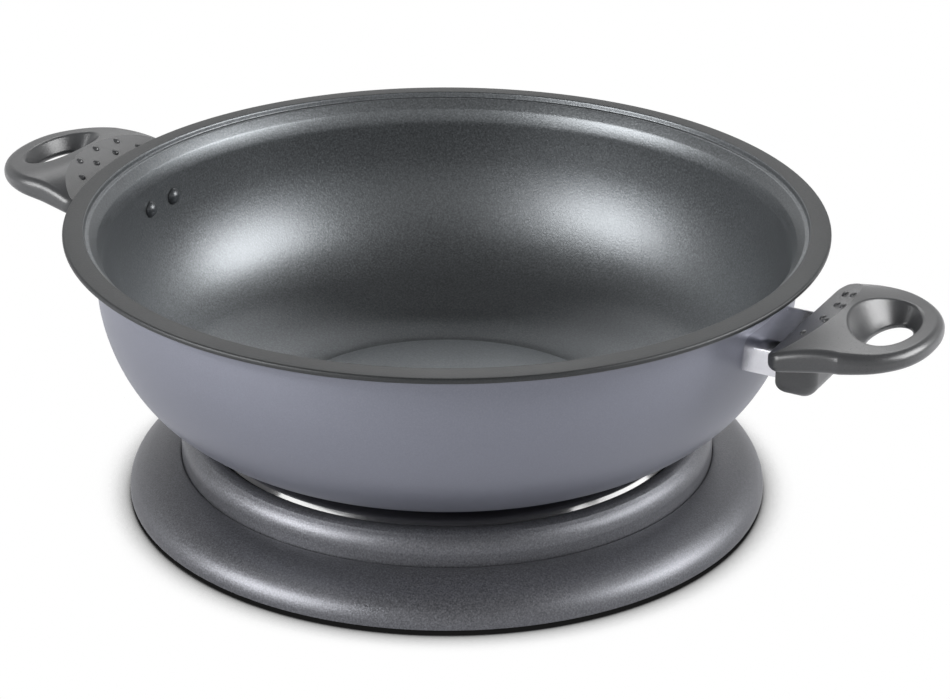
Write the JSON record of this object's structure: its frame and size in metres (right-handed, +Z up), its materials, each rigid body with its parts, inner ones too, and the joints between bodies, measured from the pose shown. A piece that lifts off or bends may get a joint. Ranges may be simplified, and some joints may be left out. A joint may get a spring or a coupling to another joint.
{
  "type": "electric wok",
  "caption": "Open electric wok: a round non-stick pan with side handles and a heater under it, standing in a round stepped base with a plug-in thermostat inlet.",
  "frame": {"origin": "middle of the plane under the feet, on the bowl's axis", "axes": "+Z up along the bowl's axis, +X along the handles to the right handle, -Y to the front, +Y to the thermostat inlet at the back"},
  "size_m": [0.462, 0.34, 0.1311],
  "materials": {
    "pan_paint": "satin blue-grey enamel outside, dark grey non-stick inside",
    "cast_bracket": "bright cast",
    "handle_phenolic": "charcoal phenolic, soft sheen",
    "coated_rivet": "dark non-stick over aluminium",
    "steel_screw": "plated",
    "cast_heater": "raw cast",
    "element_sheath": "heat-tinted sheath",
    "ceramic": "unglazed ceramic",
    "contact_metal": "nickel-plated",
    "pressed_steel": "pressed sheet",
    "fuse_metal": "plated capsule",
    "seat_black": "gloss black",
    "base_paint": "fine metallic grey paint on plastic",
    "under_plastic": "black moulded",
    "rubber_grey": "matte"
  },
  "bodies": {
    "base": {"seat_ring": "seat_black", "base_upper_tier": "base_paint", "base_lower_tier": "base_paint", "base_plate": "under_plastic", "heat_shield": "pressed_steel", "inlet_frame": "under_plastic", "rubber_feet": "rubber_grey", "base_screws": "steel_screw", "tier_screws": "steel_screw", "seat_ring_screws": "steel_screw", "shield_screws": "steel_screw", "inlet_screws": "steel_screw"},
    "pan": {"pan_bowl": "pan_paint", "right_handle_bracket": "cast_bracket", "left_handle_bracket": "cast_bracket", "right_handle": "handle_phenolic", "left_handle": "handle_phenolic", "bracket_rivets": "coated_rivet", "handle_screws": "steel_screw", "heater_casting": "cast_heater", "heating_element": "element_sheath", "terminal_block": "ceramic", "terminal_pins": "contact_metal", "pin_guard": "pressed_steel", "probe_tube": "pressed_steel", "element_cover": "pressed_steel", "cover_screws": "steel_screw", "terminal_screws": "steel_screw", "thermal_fuse": "fuse_metal", "fuse_clip": "pressed_steel", "fuse_clip_screws": "steel_screw"}
  },
  "joints": [
    {"name": "pan_lift", "type": "slide", "parent": "base", "child": "pan", "axis": [0, 0, 1], "range_m": [0, 0.12]}
  ]
}
